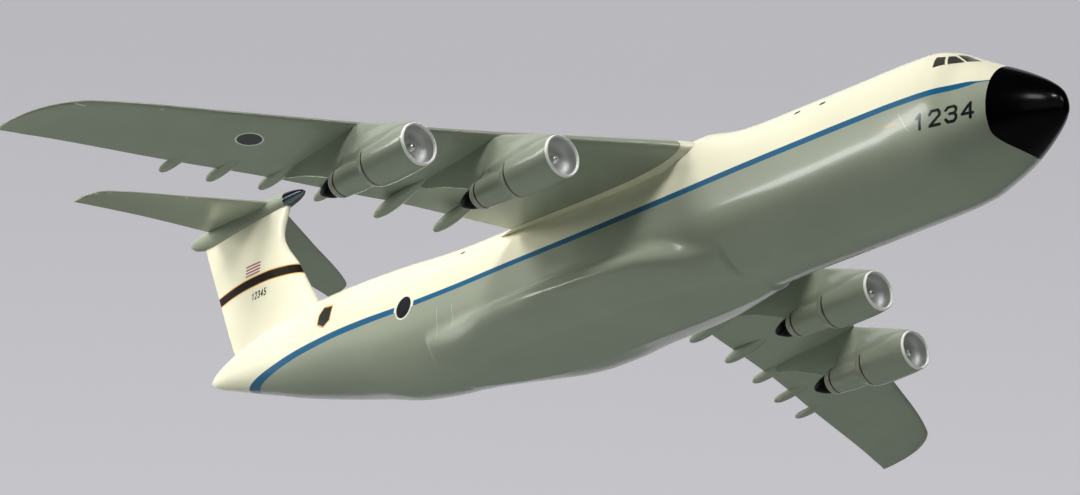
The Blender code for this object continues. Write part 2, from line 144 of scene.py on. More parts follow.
# Pylons and their fillets, by distance behind the inlet or height above the engine's axis
PYLON_FILLET = 9.0  # width of the fillet between pylon and nacelle
FILLET_START = 1.0
FILLET_GROWTH = 24.0  # distance over which the fillet grows
FILLET_FADE = 50.0  # where it begins to run out
PYLON_SPLIT = 64.0  # where it has run out and the plain aft part takes over
FILLET_FOOT = 1.0  # height from which it grows
FILLET_RISE = 9.0  # height over which it grows
FILLET_LEAST = 0.05
PYLON_WAIST = 0.93  # share of its width that the pylon keeps at the foot
PYLON_FULL = 16.0  # height from which it has all of its width
SKIRT_TILT = radians(88.0)  # how far round the nacelle the fillet's skirt reaches
SKIRT_SINK = 0.05  # depth at which the skirt runs out below the cowl
SKIRT_FADE = 1.5  # distance over which it sinks
AFT_INSET = 0.015  # share by which the aft part starts inside the shoulder
AFT_FADE = 6.0  # distance ahead of the split over which the inset runs out
AFT_OVERLAP = 4.0  # distance ahead of the split where the aft part starts

DECAL_LIFT = 0.04  # thickness of the decals' film
PAINT_SNAP = 0.001  # corners closer to a paint edge than this are taken as on it
DECAL_SNAP = 0.002
RAY_OUT = 90.0  # where the rays that lay the decals on start, beside and below the model
RAY_DOWN = -50.0

# Rings of the skins: stretches of stations, distances out or heights, and their counts
FUSELAGE_RINGS = ((40.0, 100.0, 40), (100.0, 210.0, 34), (210.0, 460.0, 126),
                  (460.0, 690.0, 90))
WING_RINGS = ((34.0, 134.0, 26), (134.0, 319.0, 48))
TAILPLANE_RINGS = ((2.0, 96.0, 36),)
FIN_RINGS = ((78.0, 116.0, 20), (116.0, 132.0, 22), (132.0, 174.0, 30))
SHOULDER_RINGS = ((1.6, 8.0, 14), (8.0, PYLON_SPLIT, 50))
TIP_CROWDING = 1.7  # power by which the rings crowd toward a panel's tip

# Fuselage sections: station, bottom, top, half width, height of the widest place,
# squareness of the lower half, squareness of the upper half
FUSELAGE = (
    (0, 33, 35.6, 1, 34.3, 2, 2),
    (0.8, 30.8, 39.1, 2.4, 34.4, 2, 2),
    (3, 29, 43.9, 4.9, 34.6, 2, 2),
    (8.5, 25.3, 49.7, 9.5, 34.8, 2, 2),
    (17, 20.9, 56.2, 15.2, 35, 2, 2),
    (29, 15, 63.8, 21.7, 35.2, 2, 2),
    (40, 10.2, 69.9, 26.4, 35.4, 2, 2),
    (52, 6.3, 76.5, 29.6, 35.6, 2.05, 2),
    (64, 3.5, 82.8, 32.4, 35.8, 2.1, 2.25),
    (78, 2.2, 86.8, 34, 36, 2.1, 2.25),
    (95, 1.8, 87.2, 35, 36, 2.1, 2.25),
    (140, 1.2, 86.8, 35.5, 36, 2.15, 2.25),
    (190, 0.6, 86.7, 35.5, 36, 2.2, 2.25),
    (220, 0, 86.6, 35.5, 36, 2.3, 2.25),
    (250, 0, 86.4, 35.5, 36, 2.4, 2.25),
    (280, 0, 86, 35.5, 36, 2.5, 2.25),
    (320, 0, 85.6, 35.5, 36, 2.5, 2.25),
    (360, 0, 85, 35.5, 36, 2.5, 2.25),
    (400, 0, 84.2, 35.5, 36.5, 2.4, 2.25),
    (430, 0.4, 84, 35.4, 37, 2.3, 2.25),
    (460, 1.2, 85, 35, 38, 2.25, 2.25),
    (500, 5.4, 88.2, 33.6, 41, 2.2, 2.25),
    (540, 15.2, 90.2, 30.8, 45, 2.1, 2.25),
    (580, 24.8, 91.2, 26.4, 50, 2.05, 2.25),
    (615, 34, 91, 21.6, 54.5, 2, 2),
    (645, 43.2, 88.4, 16.6, 58.5, 2, 2),
    (672, 51.4, 83.6, 11.4, 62.5, 2, 2),
    (692, 57.6, 78, 7.4, 65, 2, 2),
    (705, 62, 72.6, 4, 66.4, 2, 2),
    (711.5, 65.9, 67.9, 1.1, 66.8, 2, 2),
)

# Gear pods on the flanks: station, half width, height of the middle, half height,
# squareness
PODS = (
    (216, 22, 9, 8, 2),
    (232, 28, 9.5, 9.5, 2.1),
    (244, 33.4, 11, 11, 2.2),
    (256, 38.4, 12.5, 12.5, 2.2),
    (270, 42.6, 13.4, 13.4, 2.2),
    (285, 44.6, 13.6, 13.6, 2.25),
    (305, 45.6, 13.6, 13.6, 2.3),
    (330, 46.9, 13.5, 13.5, 2.4),
    (355, 48.8, 13.2, 13.2, 2.7),
    (375, 49, 13, 13, 2.8),
    (392, 47, 12.8, 12.8, 2.7),
    (410, 42.2, 13.2, 12.8, 2.5),
    (430, 36, 14.4, 12.2, 2.3),
    (455, 29, 17, 10, 2),
)

# Wing sections: distance out, leading edge station, trailing edge station,
# leading edge height, trailing edge height
WING = (
    (34, 244.6, 383.2, 77.6, 68.6),
    (75, 267.4, 385.6, 73.4, 64.2),
    (118, 290.6, 388.4, 68.8, 59.4),
    (134, 299, 391, 67.1, 57.6),
    (189, 325.5, 400.2, 61, 52.4),
    (250, 353.4, 416.8, 54.7, 47.6),
    (319, 386.6, 436.4, 47.4, 43.4),
    (325, 392.6, 438.4, 46.7, 42.9),
    (333, 405.6, 440.8, 45.7, 42.4),
    (338, 420.4, 442.6, 44.5, 42.1),
    (340, 433, 443.4, 43.2, 42),
)
ROOT_THICKNESS = 0.125  # thickness of the sections as a share of their chord
TIP_THICKNESS = 0.095
TAIL_THICKNESS = 0.10
EDGE_THICKNESS = 0.9  # thickness of the trailing edges
CAMBER = 0.018  # rise of a wing section's middle line by its chord

# Fillet that leads the crown up to the wing fairing: station, rise
CROWN_FILLET = ((196, 0), (212, 0.7), (224, 2.2), (234, 4.4), (240, 5.4),
                (250, 5), (262, 0))
CROWN_FILLET_SPREAD = radians(58)  # how far round from the crown it runs out

# Fairing over the wing's middle: distance out, front, back, height at the front,
# height at the back, thickness as a share of the length
SADDLE = (
    (0, 230, 424, 75, 76, 0.11),
    (12, 231, 420, 75, 75, 0.112),
    (22, 234, 410, 75.6, 73, 0.116),
    (29, 239, 395, 76.6, 70, 0.12),
    (33.7, 244.6, 383.2, 77.6, 68.6, 0.125),
)

# Tailplane sections, as for the wing
TAILPLANE = ((2, 660.8, 725, 178.6, 176.4), (50, 684.9, 728, 174, 172.4),
             (96, 708.2, 733.6, 169.3, 168.2), (101, 713, 734.6, 168.7, 167.8),
             (104.4, 723.6, 735.6, 168.1, 167.6))

# Fin sections: height, leading edge station, trailing edge station, half thickness
FIN = ((66, 577, 679, 5.4), (80, 593, 689, 5.2), (98, 607.5, 699, 5),
       (126, 628.1, 713.2, 4.6), (155, 648.8, 728, 4.2), (172, 645, 736, 4))
TEARDROP_FULLNESS = 2.6  # brings the thickest place up to the half thickness
TEARDROP_EDGE = 0.10  # trailing edge by the half thickness

# Bullet at the top of the fin: station, height of the middle, half width, half height
BULLET = ((630.8, 178.6, 0.5, 0.5), (633, 178.5, 2, 2), (640, 178.1, 4, 4),
          (648, 177.6, 5, 5.2), (662, 176.2, 6.2, 7.2), (685, 174.8, 6.8, 8.4),
          (710, 174, 6.6, 8.2), (732, 173.4, 5.6, 6.6), (745, 173.8, 3.8, 4.4),
          (751, 174.2, 1.4, 1.6))
BULLET_TIP_END = 648.0
BULLET_TRIM = 0.996  # keeps the bullet's top inside the solids' box

# Engines: name, distance out, inlet station, inlet height
ENGINES = (("inboard", 120.3, 240.6, 40.1), ("outboard", 188.6, 275.4, 34))
ENGINE_PITCH = radians(2.9)  # the inlets point up by this angle

# Turned profiles along an engine's axis: distance behind the inlet, radius
COWL = ((1, 11.75), (3, 12.1), (9, 12.5), (24, 12.6), (32.5, 12.2), (36.6, 11.4),
        (39.2, 10.2), (40.3, 9.2))
CORE = ((40.3, 9.2), (52, 8.9), (62.4, 8.1), (64.4, 8), (67, 7.4), (68, 6.6))
PLUG = ((68, 6.3), (73, 5.4), (77.6, 3.7), (81, 1.9), (82.8, 0))
COWL_START = 1.3
COWL_BAND = (33.8, 35.1)  # red rings, from and to
CORE_BAND = (62.1, 63.3)
CORE_INSIDE = 5.0  # radius to which the core's end face is closed

# Pylon sections from the nacelle up: height above the engine's axis, front and back
# behind the inlet, half thickness
PYLON = ((2, 8.8, 67.8, 9.6), (8, 5.2, 77.2, 8.8), (12, 1.5, 86.8, 7.4),
         (16, 9.9, 96.4, 6), (20.5, 21.4, 111.5, 5), (25, 34, 118, 4.6),
         (29.2, 46.2, 119, 4.6))

# Flap track fairings: distance out, tip station, tip height
FLAP_TRACKS = ((82, 393.3, 54.3), (121.8, 397, 50.7), (158.5, 404.3, 50.6),
               (190.4, 412.7, 49.2), (218.8, 422.1, 47.3), (244.7, 429.6, 46.3))
TRACK_LENGTH = 50.0
TRACK_RADIUS = 3.8  # at the thickest place, well aft
TRACK_BLUNTNESS = 0.48  # power by which the tip rounds off
TRACK_RISE = 0.22  # how much the fairing climbs forward for each unit

# Cheat line round the fuselage: station, height of its middle, half width
STRIPE = ((29, 51.9, 0.3), (38, 52.1, 0.4), (44.5, 51.7, 1.5), (52, 51.35, 1.85),
          (76, 50.7, 1.8), (123, 50.1, 1.9), (189, 49.3, 1.9), (257, 47.7, 1.9),
          (320, 46.6, 1.8), (381, 46, 1.7), (433, 45.1, 1.7), (476, 45.6, 1.8),
          (520, 47.6, 2.1), (552, 48.8, 2.2), (587, 49.2, 2.3), (626, 48.4, 2.1),
          (665, 48.1, 1.9))

# Band across the fin: station, height of its middle
FIN_BAND = ((600, 121), (625, 123.6), (640, 124.9), (660, 125.9), (676, 125.8),
            (692, 125.1), (712, 122.9), (730, 120.6))
FIN_BAND_HALF = 3.1
FIN_BAND_EDGE = 0.75

# Cockpit panes of one side: corners as station and height
PANES = (
    ((69.1, 76.6), (63.8, 75.6), (60.8, 68.6), (66.7, 67.7)),
    ((62.7, 75.6), (60.1, 75.9), (53.2, 69.9), (59.6, 68.6)),
    ((60.3, 77.3), (57.2, 77.3), (46.8, 70.2), (52.5, 70.1)),
)

# Discs: station, height or distance out, radius
ROUNDEL = (476.4, 45.4, 7.8)
WING_ROUNDEL = (369.5, 230, 7.8)
RING_WIDTH = 1.0
STRIPE_GAP = 1.4  # between the cheat line and the disc that interrupts it
CROWN_SPOTS = ((163.5, 74, 1), (144.3, 72.8, 1), (433.9, 70.4, 0.8))
SPOT_HALF_LENGTH = 1.2

# Lozenge on the tail: corners as station and height
LOZENGE = ((556.6, 72), (555.1, 60.5), (561.7, 57), (569.9, 61), (571, 68.5),
           (568, 74.3))
LOZENGE_EDGE = 1.0

# Plain numbers: digits, station of the middle, height of the middle, pitch of the
# digits, width, height and stroke of one
NOSE_NUMBER = ("1234", 55.6, 35.55, 9, 5.6, 8.1, 1.6)
FIN_NUMBER = ("12345", 664.2, 115.2, 3.3, 1.8, 4.5, 0.82)

# Strokes of the digits in a box from (0, 0) to (1, 1)
DIGITS = {
    "1": (((0.2, 0.75), (0.55, 1), (0.55, 0)),),
    "2": (((0, 0.78), (0.18, 1), (0.82, 1), (1, 0.82), (1, 0.62), (0, 0),
           (1, 0)),),
    "3": (((0, 0.82), (0.2, 1), (0.8, 1), (1, 0.84), (1, 0.66), (0.8, 0.53),
           (0.4, 0.53)),
          ((0.8, 0.53), (1, 0.38), (1, 0.16), (0.8, 0), (0.2, 0), (0, 0.18))),
    "4": (((0.76, 0), (0.76, 1), (0, 0.3), (1, 0.3)),),
    "5": (((0.95, 1), (0.1, 1), (0.05, 0.55), (0.75, 0.58), (1, 0.42), (1, 0.18),
           (0.8, 0), (0.2, 0), (0, 0.16)),),
}

# Patch of stripes on the fin: station and height of the middle, length, height
STRIPED_PATCH = (673.3, 134.8, 15.6, 7.6)
PATCH_STRIPES = 7
PATCH_RIM = 0.01  # keeps the patch's outermost corners

# Wear of the lacquer, and a painted glint: places as station and height on the right flank, half
# width; the first line is a painted highlight along a seam near the nose
SCRATCHES_AND_SEAM_GLINT = (
    (((82.6, 43.8), (80.8, 40.6), (79, 37.2), (75.4, 31.8)), 0.13),
    (((444.1, 36), (444.1, 16.2)), 0.14),
    (((430.7, 34.9), (428.7, 19)), 0.12),
)
# Faded yellow touch-up beside the number: lines as stations and heights, half width
TOUCH_UP = (((83.2, 38.4), (85, 38.9)), ((86.2, 38.6), (88, 39)),
            ((88.6, 38.4), (91, 39.3)))
TOUCH_UP_HALF_WIDTH = 0.75
# Chips at leading edges, seen from below: station, distance out, half length, half width
WING_CHIPS = ((392.5, 323.9, 3.4, 0.45), (371, 286, 0.7, 0.35))
TAIL_CHIPS = ((715.4, 101.4, 1.1, 0.45), (709.2, 95.5, 0.9, 0.4), (686.5, 52, 0.6, 0.35))


SURFACES = {}  # the skins that decals are laid on
FINISHES = {}


def place(station, out, height):
    """Points of the model in metres from stations, distances to port and heights."""
    return np.stack(np.broadcast_arrays((NOSE - station) * MM, out * MM, height * MM), -1)


def sample(table, where):
    """Values of a table's columns at some places, on smooth curves through its rows."""
    rows = np.array(table)
    first, values = rows[:, 0], rows[:, 1:]
    gap = np.diff(first)[:, None]
    secant = np.diff(values, axis=0) / gap
    before, after = secant[:-1], secant[1:]
    same_way = before * after > 0.0
    total = np.where(same_way, before + after, 1.0)
    inner = np.where(same_way, 2.0 * before * after / total, 0.0)
    slope = np.vstack((secant[:1], inner, secant[-1:]))
    where = np.clip(np.atleast_1d(where), first[0], first[-1])
    index = np.clip(np.searchsorted(first, where, side="right") - 1, 0, len(first) - 2)
    length = gap[index]
    share = (where - first[index])[:, None] / length
    start, end = slope[index] * length, slope[index + 1] * length
    change = values[index + 1] - values[index]
    bend = (3.0 * change - 2.0 * start - end) * share ** 2
    return values[index] + start * share + bend + (start + end - 2.0 * change) * share ** 3


def new_object(name, data, finishes=()):
    item = bpy.data.objects.new(name, data)
    bpy.context.scene.collection.objects.link(item)
    for finish in finishes:
        data.materials.append(FINISHES[finish])
    return item


def skin(rings, ends=(True, True)):
    """A bmesh through an array of rings, each end closed where it is asked for."""
    bm = bmesh.new()
    rows = [[bm.verts.new(point) for point in ring] for ring in rings]
    count = len(rows[0])
    for near, far in zip(rows, rows[1:]):
        for k in range(count):
            following = (k + 1) % count
            bm.faces.new((near[k], near[following], far[following], far[k]))
    for row, closed in ((rows[0], ends[0]), (rows[-1], ends[1])):
        if closed:
            bm.faces.new(row)
    bmesh.ops.remove_doubles(bm, verts=bm.verts, dist=0.002 * MM)
    bmesh.ops.recalc_face_normals(bm, faces=bm.faces)
    return bm


def coordinates(verts):
    """Stations, distances out and heights of some vertices, in millimetres."""
    points = np.array([vert.co for vert in verts]) / MM
    return NOSE - points[:, 0], points[:, 1], points[:, 2]


def cut_edges(bm, values, snap):
    """Cuts edges and faces along where the values at their corners change sign."""
    bm.verts.index_update()
    values = list(values)
    fresh = []
    for edge in list(bm.edges):
        near, far = edge.verts
        a, b = values[near.index], values[far.index]
        if a * b < 0.0 and min(abs(a), abs(b)) > snap:
            vert = bmesh.utils.edge_split(edge, near, a / (a - b))[1]
            vert.index = len(values)
            values.append(0.0)
            fresh.append(vert)
    bmesh.ops.connect_verts(bm, verts=fresh)


def paint(bm, index, *fields):
    """Gives another material to where all fields are positive, cut along their edges."""
    for field in fields:
        cut_edges(bm, field(*coordinates(bm.verts)), PAINT_SNAP)
    bm.faces.ensure_lookup_table()
    middles = np.array([face.calc_center_median() for face in bm.faces]) / MM
    inside = np.full(len(middles), True)
    for field in fields:
        inside &= field(NOSE - middles[:, 0], middles[:, 1], middles[:, 2]) > 0.0
    for number in np.flatnonzero(inside):
        bm.faces[number].material_index = index


def finish_mesh(name, bm, finishes, nodes=(), sharp=40.0, turning=None):
    """Turns a bmesh into a piece that rides on the body and replaces some nodes."""
    mesh = bpy.data.meshes.new(name)
    for face in bm.faces:
        face.material_index = min(face.material_index, len(finishes) - 1)
    bm.to_mesh(mesh)
    bm.free()
    mesh.shade_smooth()
    mesh.set_sharp_from_angle(angle=radians(sharp))
    item = new_object(name, mesh, finishes)
    if turning is not None:
        item.matrix_world = turning
    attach(item, "root")
    if nodes:
        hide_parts(*nodes)


def spaced(stretches):
    """Places through some stretches, without the end of the last one."""
    return np.concatenate([np.linspace(*stretch)[:-1] for stretch in stretches])


def ease(share):
    """A smooth step from 0 to 1."""
    share = np.clip(share, 0.0, 1.0)
    return share * share * (3.0 - 2.0 * share)


def outline_reach(outside, unit, shares, halvings):
    """How far rays reach to an outline: sought inward by shares of a unit, then halved."""
    beyond = np.array([outside(unit * share) > 0.0 for share in shares])
    first = np.argmin(beyond, axis=0)
    near, far = unit * shares[first], unit * shares[np.maximum(first - 1, 0)]
    for _ in range(halvings):
        half = 0.5 * (near + far)
        out = outside(half) > 0.0
        near, far = np.where(out, near, half), np.where(out, half, far)
    return near


# Fuselage

def pod_distance(pod, across, height):
    """Roughly how far points lie outside a gear pod's section."""
    half_width, middle, half_height, square = pod
    wide, tall = np.abs(across) / half_width, np.abs(height - middle) / half_height
    spread = np.maximum((wide ** square + tall ** square) ** (1.0 / square), 0.01)
    return np.hypot(across, height - middle) * (1.0 - 1.0 / spread)


def section_radius(station, angles):
    """Distances from the section's middle to its outline, with the pods filleted in."""
    bottom, top, half_width, middle, low, high = sample(FUSELAGE, station)[0]
    upper = np.sin(angles) > 0.0
    square = np.where(upper, high, low)
    half_height = np.where(upper, top - middle, middle - bottom)
    flat = (np.abs(np.cos(angles) / half_width) ** square
            + np.abs(np.sin(angles) / half_height) ** square)
    body = flat ** (-1.0 / square)
    if not PODS[0][0] < station < PODS[-1][0]:
        return body, middle
    pod = sample(PODS, station)[0]

    def outside(reach):
        from_pod = pod_distance(pod, reach * np.cos(angles), middle + reach * np.sin(angles))
        from_body = reach - body
        fillet = np.maximum(POD_FILLET - np.abs(from_pod - from_body), 0.0)
        return np.minimum(from_pod, from_body) - fillet ** 2 / (4.0 * POD_FILLET)

    reach = outline_reach(outside, body, np.linspace(1.8, 0.0, 91), 24)
    return np.where(upper, body, reach), middle


def fuselage_ring(station, count):
    """Points round the fuselage at a station, leaning back near the radome's join."""
    angles = 2.0 * pi * (np.arange(count) + 0.5) / count
    reach, middle = section_radius(station, angles)
    if station < RADOME_JOIN:
        lean = RADOME_LEAN * station / RADOME_JOIN
    else:
        fade = 1.0 - (station - RADOME_JOIN) / (LEAN_ENDS - RADOME_JOIN)
        lean = RADOME_LEAN * max(0.0, fade)
    if CROWN_FILLET[0][0] < station < CROWN_FILLET[-1][0]:
        from_crown = np.abs(angles - 0.5 * pi) / CROWN_FILLET_SPREAD
        reach = reach + sample(CROWN_FILLET, station)[0, 0] * ease(2.0 * (1.0 - from_crown))
    up = reach * np.sin(angles)
    return place(station + lean * up, reach * np.cos(angles), np.maximum(middle + up, 0.0))


def stripe_edge(sign):
    """Field that is positive above (sign 1) or below (sign -1) the cheat line."""
    def field(station, out, height):
        middle, half = sample(STRIPE, station).T
        return sign * (height - middle) - half
    return field


def beyond_disc(station, height, radius):
    """Field that is positive outside an upright disc on the flank."""
    def field(stations, out, heights):
        return np.hypot(stations - station, heights - height) - radius
    return field


def ahead_of_join(station, out, height):
    """Field that is positive on the radome, whose edge sweeps forward near the belly."""
    low = np.maximum(JOIN_SWEEP_START - height, 0.0)
    join = RADOME_JOIN + RADOME_LEAN * (height - JOIN_HEIGHT) - JOIN_SWEEP * low ** 2
    return join - station


def keep_faces(bm, wanted):
    """A copy of a bmesh with only the faces whose material numbers are wanted."""
    part = bm.copy()
    others = [face for face in part.faces if face.material_index not in wanted]
    bmesh.ops.delete(part, geom=others, context="FACES")
    return part


def build_fuselage():
    ahead, behind, tail = FUSELAGE_RINGS[0][0], FUSELAGE_RINGS[-1][1], FUSELAGE[-1][0]
    stations = np.concatenate((ahead * np.linspace(0.0, 1.0, 50)[:-1] ** 1.6,
                               spaced(FUSELAGE_RINGS),
                               tail - (tail - behind) * np.linspace(1.0, 0.0, 16) ** 2))
    bm = skin([fuselage_ring(station, 144) for station in stations])
    SURFACES["fuselage"] = BVHTree.FromBMesh(bm)
    station, height, radius = ROUNDEL
    paint(bm, 1, stripe_edge(-1.0))
    paint(bm, 2, lambda s, y, z: -stripe_edge(1.0)(s, y, z),
          lambda s, y, z: -stripe_edge(-1.0)(s, y, z),
          beyond_disc(station, height, radius + STRIPE_GAP))
    paint(bm, 3, ahead_of_join)
    finish_mesh("radome_skin", keep_faces(bm, (3,)), ["gloss_black"], ["radome"])
    body = keep_faces(bm, (0, 1, 2))
    bm.free()
    finish_mesh("fuselage_skin", body, ["cream_white", "grey_green", "cheat_blue"],
                ["fuselage"])


# Wings and tail

def airfoil(chord, thickness, steps):
    """Outline of a wing section as distances aft and heights, back round to the front."""
    share = 0.5 * (1.0 - np.cos(np.linspace(0.0, pi, steps + 1)))
    shape = (1.4845 * share ** 0.5 - 0.63 * share - 1.758 * share ** 2
             + 1.4215 * share ** 3 - 0.518 * share ** 4)
    half = thickness * chord * shape + 0.5 * EDGE_THICKNESS * share
    middle = CAMBER * chord * 4.0 * share * (1.0 - share)
    aft = np.concatenate((share, share[:0:-1])) * chord
    return aft, np.concatenate((middle - half, (middle + half)[:0:-1]))


def wing_ring(row, side, thickness, steps=40):
    out, front, back, front_height, back_height = row
    aft, up = airfoil(back - front, thickness, steps)
    slope = (back_height - front_height) / (back - front)
    return place(front + aft, side * out, front_height + slope * aft + up)


def wing_rings(table, places, side, thickness):
    rows = np.column_stack((places, sample(table, places)))
    return [wing_ring(row, side, thickness(row[0])) for row in rows]


def wing_thickness(out):
    share = (out - WING[0][0]) / (WING[-1][0] - WING[0][0])
    return ROOT_THICKNESS + (TIP_THICKNESS - ROOT_THICKNESS) * share


def panel_places(stretches, tip, count):
    """Distances out of a panel's sections, crowded toward its tip."""
    start = stretches[-1][1]
    crowded = 1.0 - np.linspace(1.0, 0.0, count) ** TIP_CROWDING
    return np.concatenate((spaced(stretches), start + (tip - start) * crowded))


def build_panels(name, table, places, thickness):
    """The left and the right wing or tailplane."""
    for side, word in SIDES:
        bm = skin(wing_rings(table, places, side, thickness))
        SURFACES[name + "_" + word] = BVHTree.FromBMesh(bm)
        finish_mesh(name + "_skin_" + word, bm, ["grey_green"],
                    [name + "_" + word])


def build_wings():
    build_panels("wing", WING, panel_places(WING_RINGS, WING[-1][0], 30), wing_thickness)
    outs = np.linspace(0.0, SADDLE[-1][0], 24)
    values = np.column_stack((outs, sample(SADDLE, outs)))
    rings = [wing_ring(row[:5], -1.0, row[5]) for row in values[:0:-1]]
    rings += [wing_ring(row[:5], 1.0, row[5]) for row in values]
    finish_mesh("wing_fairing_skin", skin(rings), ["cream_white"],
                ["wing_fairing"])


def teardrop_width(share):
    """Half thickness along a teardrop's chord, by the half thickness of the tables."""
    return TEARDROP_FULLNESS * share ** 0.5 * (1.0 - share) + TEARDROP_EDGE * share


def teardrop(front, back, half, steps):
    """Outline of a fin or pylon section as distances aft and across."""
    share = 0.5 * (1.0 - np.cos(np.linspace(0.0, pi, steps + 1)))
    across = half * teardrop_width(share)
    aft = front + share * (back - front)
    return np.concatenate((aft, aft[:0:-1])), np.concatenate((-across, across[:0:-1]))


def fin_band(half):
    """Field that is positive inside the band across the fin."""
    def field(station, out, height):
        return half - np.abs(height - sample(FIN_BAND, station)[:, 0])
    return field


def build_tail():
    heights = np.append(spaced(FIN_RINGS), FIN_RINGS[-1][1])
    rings = []
    for height, (front, back, half) in zip(heights, sample(FIN, heights)):
        aft, across = teardrop(front, back, half, 40)
        rings.append(place(aft, across, height))
    bm = skin(rings)
    SURFACES["fin"] = BVHTree.FromBMesh(bm)
    paint(bm, 1, fin_band(FIN_BAND_HALF + FIN_BAND_EDGE))
    paint(bm, 2, fin_band(FIN_BAND_HALF))
    finish_mesh("fin_skin", bm, ["cream_white", "gold", "band_black"], ["fin"])
    places = panel_places(TAILPLANE_RINGS, TAILPLANE[-1][0], 18)
    build_panels("tailplane", TAILPLANE, places, lambda out: TAIL_THICKNESS)

    front, back = BULLET[0][0], BULLET[-1][0]
    tip = front + (BULLET_TIP_END - HAIRLINE - front) * np.linspace(0.0, 1.0, 24) ** 1.8
    rest = back - (back - BULLET_TIP_END - HAIRLINE) * np.linspace(1.0, 0.0, 60) ** 1.3
    angles = 2.0 * pi * np.arange(64) / 64
    for name, stations, finish, slot in (("bullet_tip", tip, "dark_metal", "dark_metal"),
                                         ("bullet_fairing", rest, "grey_green", "lower_paint")):
        rings = []
        for station, (middle, wide, tall) in zip(stations, sample(BULLET, stations)):
            height = middle + BULLET_TRIM * tall * np.sin(angles)
            rings.append(place(station, wide * np.cos(angles), height))
        finish_mesh(name + "_skin", skin(rings), [finish], [name])


# Engines and flap tracks

def turning_frame(station, out, height, pitch):
    """A frame whose Z points forward and up by the pitch, and its X down."""
    origin = Vector(place(station, out, height))
    return Matrix.Translation(origin) @ Matrix.Rotation(0.5 * pi - pitch, 4, "Y")


def lower_to(bm, turning, ceiling):
    """Bring points of a turned piece down to a ceiling given over the stations."""
    back = turning.inverted()
    for vert in bm.verts:
        spot = turning @ vert.co
        spot.z = min(spot.z, ceiling(NOSE - spot.x / MM) * MM)
        vert.co = back @ spot


def turned(name, profile, turning, finishes, node, band=None, sides=96, ceiling=None):
    """A lathe-turned piece from distances aft and radii, with a band of a second finish."""
    angles = 2.0 * pi * np.arange(sides) / sides
    rings = [np.stack((radius * np.cos(angles), radius * np.sin(angles),
                       np.full(sides, -aft)), -1) * MM for aft, radius in profile]
    bm = skin(rings, (False, False))
    if band:
        for face in bm.faces:
            if band[0] < -face.calc_center_median().z / MM < band[1]:
                face.material_index = 1
    if ceiling:
        lower_to(bm, turning, ceiling)
    finish_mesh(name, bm, finishes, [node], sharp=35.0, turning=turning)


def curve_profile(table, places):
    return list(zip(places, sample(table, places)[:, 0]))


def banded_profile(table, start, band, count):
    """A turned profile with rings where a band of paint starts and ends."""
    places = np.linspace(start, table[-1][0], count)
    return curve_profile(table, sorted([*places, *band]))


def lip_profile():
    """Half round of the inlet's lip, from the cowl's front over to the throat."""
    return [(THROAT_START - THROAT_START * sin(angle), LIP_MIDDLE + LIP_HALF_WIDTH * cos(angle))
            for angle in np.linspace(0.0, pi, 17)]


def throat_profile():
    """The turned bowl behind the lip, down to the foot of the spinner."""
    radii = THROAT_RADIUS * np.sin(np.linspace(0.5 * pi, THROAT_FOOT, 44))
    depths = (1.0 - (radii / THROAT_RADIUS) ** THROAT_SQUARENESS) ** (1.0 / THROAT_SQUARENESS)
    return [(THROAT_START + (THROAT_DEPTH - THROAT_START) * depth, radius)
            for radius, depth in zip(radii, depths)]


def build_engine(tag, turning):
    painted = ["grey_green", "ring_red"]
    cowl = banded_profile(COWL, COWL_START, COWL_BAND, 60)
    turned("nacelle_skin_" + tag, cowl, turning, painted, "nacelle_" + tag,
           COWL_BAND)
    core = banded_profile(CORE, CORE[0][0], CORE_BAND, 44) + [(CORE[-1][0], CORE_INSIDE)]
    turned("core_skin_" + tag, core, turning, painted, "core_" + tag, CORE_BAND)
    foot, tip = PLUG[0][0], PLUG[-1][0]
    plug = curve_profile(PLUG, tip - (tip - foot) * np.linspace(1.0, 0.0, 30) ** 1.8)
    turned("exhaust_plug_skin_" + tag, plug, turning, ["plug_black"],
           "exhaust_plug_" + tag)
    # The lip's white is a painted reflection; the bowl behind it is bare turned metal
    turned("inlet_skin_" + tag, lip_profile() + throat_profile(), turning,
           ["lip_painted_reflection", "turned_metal"], "inlet_" + tag,
           (THROAT_START, THROAT_DEPTH + 1.0))
    cone = [(SPINNER_FOOT - SPINNER_LENGTH * sin(angle) ** 0.9, SPINNER_RADIUS * cos(angle))
            for angle in np.linspace(0.0, 0.5 * pi, 20)]
    turned("spinner_skin_" + tag, cone, turning, ["spinner_metal"],
           "spinner_" + tag, sides=48)


def nacelle_radius(aft):
    """Outer radius of cowl and core at a distance behind the inlet."""
    return sample(COWL if aft < CORE[0][0] else CORE, aft)[0, 0]


def pylon_distance(aft, across, up):
    """Roughly how far points lie outside the pylon at a distance behind the inlet."""
    front, back, half = sample(PYLON, up).T
    share = np.clip((aft - front) / (back - front), 0.0, 1.0)
    narrow = PYLON_WAIST * min(nacelle_radius(aft) / CORE[0][1], 1.0)
    low = ease((PYLON_FULL - up) / (PYLON_FULL - PYLON[0][0]))
    half = half * teardrop_width(share) * (1.0 - (1.0 - narrow) * low)
    beyond = np.maximum(up - PYLON[-1][0], front - aft)
    return np.maximum(np.abs(across) - half, beyond)


